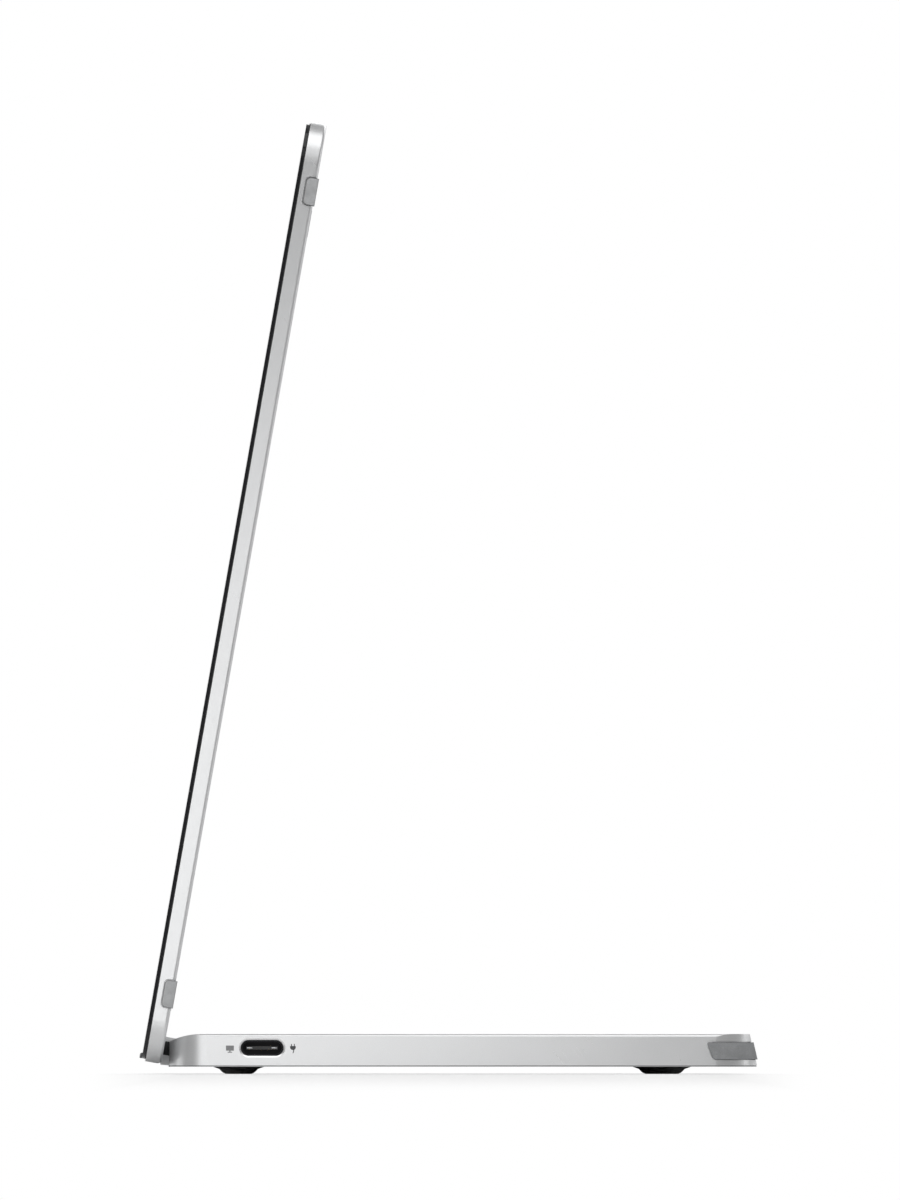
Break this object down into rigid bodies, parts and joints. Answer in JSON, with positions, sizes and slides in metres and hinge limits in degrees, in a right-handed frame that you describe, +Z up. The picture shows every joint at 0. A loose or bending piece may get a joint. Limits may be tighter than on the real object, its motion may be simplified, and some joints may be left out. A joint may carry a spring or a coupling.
{
  "type": "portable monitor",
  "caption": "Thin portable monitor whose display tilts on a hinged metal base and folds flat against it, with ports and buttons on the sides of the base.",
  "frame": {"origin": "on the resting surface, in the middle of the outline", "axes": "+X across the screen to the side with the seen port, +Y from the glass to the rear end of the base, +Z up"},
  "size_m": [0.323, 0.1324, 0.2042],
  "materials": {
    "display_shell": "fine satin, anodised silver",
    "base_shell": "fine satin, anodised silver",
    "bottom_cover": "satin",
    "hinge_cover": "fine satin, anodised silver",
    "glass_adhesive": "black foam tape",
    "cover_glass": "gloss, dark behind",
    "lcd_cell": "dark, unlit",
    "film_stack": "milky",
    "light_guide": "clear",
    "reflector": "white",
    "panel_frame": "moulded",
    "led_strip": "diodes on a strip",
    "driver_board": "solder mask",
    "driver_chips": "moulded",
    "front_lip": "fine matt",
    "display_cable": "taped bundle",
    "base_cable": "taped bundle",
    "main_board": "solder mask",
    "button_board": "solder mask",
    "board_chips": "moulded",
    "shield_can": "tin plated",
    "foot_hinge": "matt",
    "foot_rear": "matt",
    "bumper_upper_left": "matt",
    "bumper_upper_right": "matt",
    "bumper_lower_left": "matt",
    "bumper_lower_right": "matt",
    "hinge_cap_left": "moulded",
    "hinge_cap_right": "moulded",
    "hinge_leaf_left": "stamped",
    "hinge_leaf_right": "stamped",
    "hinge_bracket_left": "stamped",
    "hinge_bracket_right": "stamped",
    "hinge_shaft_left": "ground",
    "hinge_shaft_right": "ground",
    "friction_washers_left": "hardened",
    "friction_washers_right": "hardened",
    "shaft_nut_left": "zinc plated",
    "shaft_nut_right": "zinc plated",
    "leaf_screws_left": "dark",
    "leaf_screws_right": "dark",
    "bracket_screws_left": "dark",
    "bracket_screws_right": "dark",
    "port_shell_left": "nickel plated",
    "port_shell_right": "nickel plated",
    "port_tongue_left": "moulded, with gold contacts",
    "port_tongue_right": "moulded, with gold contacts",
    "rear_insert_left": "matt",
    "rear_insert_right": "matt",
    "cover_screw_hinge_left": "dark",
    "cover_screw_hinge_right": "dark",
    "cover_screw_rear_left": "dark",
    "cover_screw_rear_right": "dark",
    "button_power": "satin",
    "switch_power": "moulded",
    "button_bright_up": "satin",
    "switch_bright_up": "moulded",
    "button_bright_down": "satin",
    "switch_bright_down": "moulded"
  },
  "bodies": {
    "display": {"display_shell": "display_shell", "glass_adhesive": "glass_adhesive", "cover_glass": "cover_glass", "lcd_cell": "lcd_cell", "film_stack": "film_stack", "light_guide": "light_guide", "reflector": "reflector", "panel_frame": "panel_frame", "led_strip": "led_strip", "driver_board": "driver_board", "driver_chips": "driver_chips", "front_lip": "front_lip", "hinge_cover": "hinge_cover", "display_cable": "display_cable", "bumper_upper_left": "bumper_upper_left", "bumper_upper_right": "bumper_upper_right", "bumper_lower_left": "bumper_lower_left", "bumper_lower_right": "bumper_lower_right", "hinge_cap_left": "hinge_cap_left", "hinge_cap_right": "hinge_cap_right", "hinge_leaf_left": "hinge_leaf_left", "hinge_leaf_right": "hinge_leaf_right", "leaf_screws_left": "leaf_screws_left", "leaf_screws_right": "leaf_screws_right"},
    "power_button": {"button_power": "button_power"},
    "bright_up_button": {"button_bright_up": "button_bright_up"},
    "bright_down_button": {"button_bright_down": "button_bright_down"},
    "base": {"base_shell": "base_shell", "bottom_cover": "bottom_cover", "base_cable": "base_cable", "main_board": "main_board", "button_board": "button_board", "board_chips": "board_chips", "shield_can": "shield_can", "foot_hinge": "foot_hinge", "foot_rear": "foot_rear", "hinge_bracket_left": "hinge_bracket_left", "hinge_bracket_right": "hinge_bracket_right", "hinge_shaft_left": "hinge_shaft_left", "hinge_shaft_right": "hinge_shaft_right", "friction_washers_left": "friction_washers_left", "friction_washers_right": "friction_washers_right", "shaft_nut_left": "shaft_nut_left", "shaft_nut_right": "shaft_nut_right", "bracket_screws_left": "bracket_screws_left", "bracket_screws_right": "bracket_screws_right", "port_shell_left": "port_shell_left", "port_shell_right": "port_shell_right", "port_tongue_left": "port_tongue_left", "port_tongue_right": "port_tongue_right", "rear_insert_left": "rear_insert_left", "rear_insert_right": "rear_insert_right", "cover_screw_hinge_left": "cover_screw_hinge_left", "cover_screw_hinge_right": "cover_screw_hinge_right", "cover_screw_rear_left": "cover_screw_rear_left", "cover_screw_rear_right": "cover_screw_rear_right", "switch_power": "switch_power", "switch_bright_up": "switch_bright_up", "switch_bright_down": "switch_bright_down"}
  },
  "joints": [
    {"name": "display_tilt", "type": "hinge", "parent": "base", "child": "display", "pos_m": [0, -0.05666, 0.00458], "axis": [1, 0, 0], "range_deg": [-80, 15]},
    {"name": "power_press", "type": "slide", "parent": "base", "child": "power_button", "axis": [1, 0, 0], "range_m": [0, 0.00035], "stiffness_N_per_m": 1200, "springref_m": -0.0004},
    {"name": "bright_up_press", "type": "slide", "parent": "base", "child": "bright_up_button", "axis": [1, 0, 0], "range_m": [0, 0.00035], "stiffness_N_per_m": 1200, "springref_m": -0.0004},
    {"name": "bright_down_press", "type": "slide", "parent": "base", "child": "bright_down_button", "axis": [1, 0, 0], "range_m": [0, 0.00035], "stiffness_N_per_m": 1200, "springref_m": -0.0004}
  ]
}
